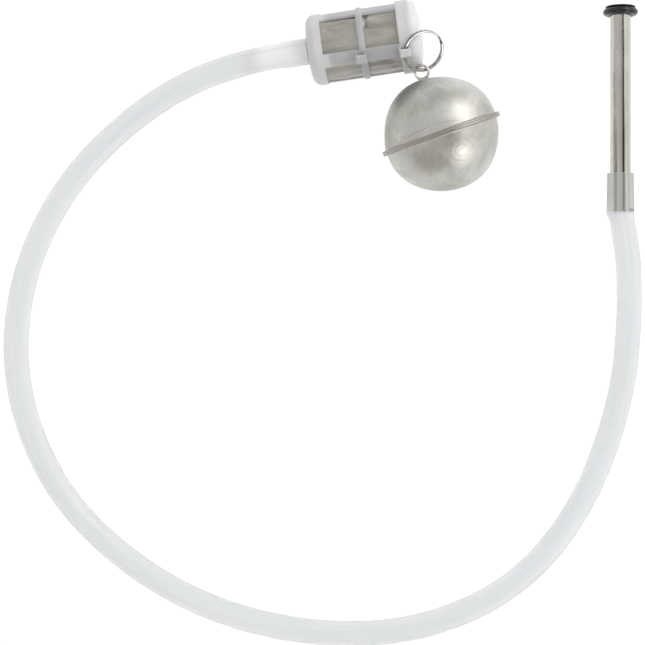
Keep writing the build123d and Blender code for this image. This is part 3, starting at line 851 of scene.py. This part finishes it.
def make_float_half(name, side, node):
    """Spun hemisphere with a rolled lip, very slightly out of round."""
    outer = FLOAT_OD / 2
    inner = outer - FLOAT_WALL
    start = math.asin((LIP_SIDE + ROOT_RISE) / outer)
    arc = [start + (math.pi / 2 - start) * k / 48 for k in range(49)]
    profile = [Vector((outer * math.cos(a), outer * math.sin(a))) for a in arc]
    profile += [Vector((inner * math.cos(a), inner * math.sin(a))) for a in reversed(arc)]
    profile += soft([(inner, 0.0, 0), (LIP_EDGE - SEAM_GROOVE, 0.0, 0),
                     (LIP_EDGE, SEAM_GROOVE, 0.08), (LIP_EDGE, LIP_SIDE, 0.22),
                     (outer + 0.05, LIP_SIDE, 0.95),
                     tuple(profile[0]) + (0,)], 6)[:-1]
    profile = [Vector((p.x, side * p.y)) for p in profile]

    level = float_place().to_3x3()

    def reshape(point):
        flatness = min(abs(point.z) / STIFF_BAND, 1.0)
        way = (level @ point).normalized()
        heading = math.atan2(way.y, way.x)
        square = -SQUARENESS * math.cos(4 * heading) * (1 - way.z**2) * flatness
        sway = UNEVENNESS * noise.noise(point * 0.07) * flatness
        lip_wave = LIP_WAVE * noise.noise(point * 0.3) * (1 - flatness)
        scale = 1 + (square + sway - BALL_SINK) / outer
        return Vector((point.x * scale, point.y * scale, point.z * scale + lip_wave))

    half = turned(name, profile, float_place(), 160, reshape)
    dress(half, spun_steel(), "float", "float_steel", node)


WELD_FLARE = 0.35        # share by which the wire thickens at the weld
WELD_REACH = 0.35        # height above the ball over which the flare dies out


def make_float_eye():
    """Wire ring whose foot flares a little where it is welded to the float."""
    radius = (EYE_OD - EYE_WIRE) / 2
    ball_at = FLOAT_OD / 2 + EYE_OD / 2 - EYE_SINK
    rings = []
    for i in range(120):
        angle = 2 * math.pi * i / 120
        centre = Vector((radius * math.cos(angle), radius * math.sin(angle), 0))
        above_ball = (centre - Vector((ball_at, 0, 0))).length - FLOAT_OD / 2
        wire = EYE_WIRE / 2 * (1 + WELD_FLARE * math.exp(-max(above_ball, 0) / WELD_REACH))
        out = centre.normalized()
        rings.append([centre + out * (wire * math.cos(t)) + Vector((0, 0, wire * math.sin(t)))
                      for t in (2 * math.pi * k / 24 for k in range(24))])
    eye = skin("float_eye_wire", rings, float_eye_place())
    dress(eye, tempered_strip("bright_steel_wire", "#bcbab6", "#e2e1de", roughness=0.15),
          "float", "float_steel", "float_eye")


def dress_node(node, material):
    """A CAD node that keeps its own shape and gets a material."""
    mesh = frame["nodes"][node].data
    mesh.materials.clear()
    mesh.materials.append(material)


make_dip_tube()
make_o_ring()
make_screen()
make_split_ring()
make_float_half("upper_float_shell", 1, "float_upper_shell")
make_float_half("lower_float_shell", -1, "float_lower_shell")
make_float_eye()
dress_node("filter_cage", moulded_polypropylene("moulded_cage", "#dcddde", "#d3d4d6",
                                                thick_clearness=0.15, thin_clearness=0.45))
make_end_cap()


# ---------------------------------------------------------------- floor, world and lights
FLOOR_HALF = 3.0
FLOOR_DROP = 0.0002      # keeps the sheet just clear of what rests on it


def make_floor():
    """White sheet, lit from within so that it stays pale round the part."""
    mesh = bpy.data.meshes.new("floor")
    corners = [(x * FLOOR_HALF, y * FLOOR_HALF, 0) for x, y in ((-1, -1), (1, -1), (1, 1), (-1, 1))]
    mesh.from_pydata(corners, [], [(0, 1, 2, 3)])
    floor = bpy.data.objects.new("floor", mesh)
    floor.location.z = -FLOOR_DROP
    bpy.context.collection.objects.link(floor)
    material, tree, shader, place = start_material("white_paper")
    fibre = add(tree, "ShaderNodeTexNoise", {"Vector": place, "Scale": 0.8, "Detail": 3.0})
    tree.links.new(ramp(tree, fibre.outputs["Fac"], (0.3, "#545454"), (0.7, "#585858")),
                   shader.inputs["Base Color"])
    set_sockets(shader, Roughness=0.9, Emission_Color=(1, 1, 1, 1), Emission_Strength=0.95)
    mesh.materials.append(material)


def make_world():
    """Grey studio round the part: dimmer to the left, a lit wall to the right, and between
    them the narrow dark gap beside the overhead light."""
    world = bpy.data.worlds.new("studio")
    world.use_nodes = True
    tree = world.node_tree
    way = add(tree, "ShaderNodeTexCoord").outputs["Generated"]
    parts = add(tree, "ShaderNodeSeparateXYZ", {"Vector": way}).outputs
    lean = add(tree, "ShaderNodeMath", {0: parts["X"], 1: parts["Z"]}, operation="ARCTAN2")
    share = add(tree, "ShaderNodeMapRange", {"Value": lean.outputs["Value"],
                                             "From Min": -math.pi / 2, "From Max": math.pi / 2})
    tone = ramp(tree, share.outputs["Result"], (0.0, "#d6d5d3"), (0.3, "#d9d8d6"),
                (0.5, "#c6c4c1"), (0.565, "#a5a29e"), (0.6, "#1f1b18"), (0.655, "#1f1b18"),
                (0.7, "#f9f8f5"), (0.9, "#f7f6f3"), (1.0, "#efeeec"))
    background = tree.nodes["Background"]
    tree.links.new(tone, background.inputs["Color"])
    background.inputs["Strength"].default_value = 1.05
    bpy.context.scene.world = world


def softbox(name, direction, distance, size, watts):
    """Square area light that looks at the float from a direction."""
    lamp = bpy.data.objects.new(name, bpy.data.lights.new(name, "AREA"))
    lamp.data.size, lamp.data.energy = size, watts
    away = Vector(direction).normalized()
    lamp.location = float_place().translation + away * distance
    lamp.rotation_euler = (-away).to_track_quat("-Z", "Y").to_euler()
    bpy.context.collection.objects.link(lamp)


def fill_light(height, size, watts):
    """Wide overhead sheet of light, too even to show as a reflection in the metal."""
    lamp = bpy.data.objects.new("overhead_fill", bpy.data.lights.new("overhead_fill", "AREA"))
    lamp.data.size, lamp.data.energy = size, watts
    lamp.location.z = height
    lamp.visible_glossy = lamp.visible_transmission = False
    bpy.context.collection.objects.link(lamp)


make_floor()
make_world()
fill_light(height=1.5, size=1.2, watts=5.0)
softbox("upper_right_softbox", (0.54, 0.55, 0.64), distance=0.8, size=0.6, watts=2.2)
softbox("lower_right_softbox", (0.58, -0.61, 0.54), distance=0.8, size=0.32, watts=0.8)
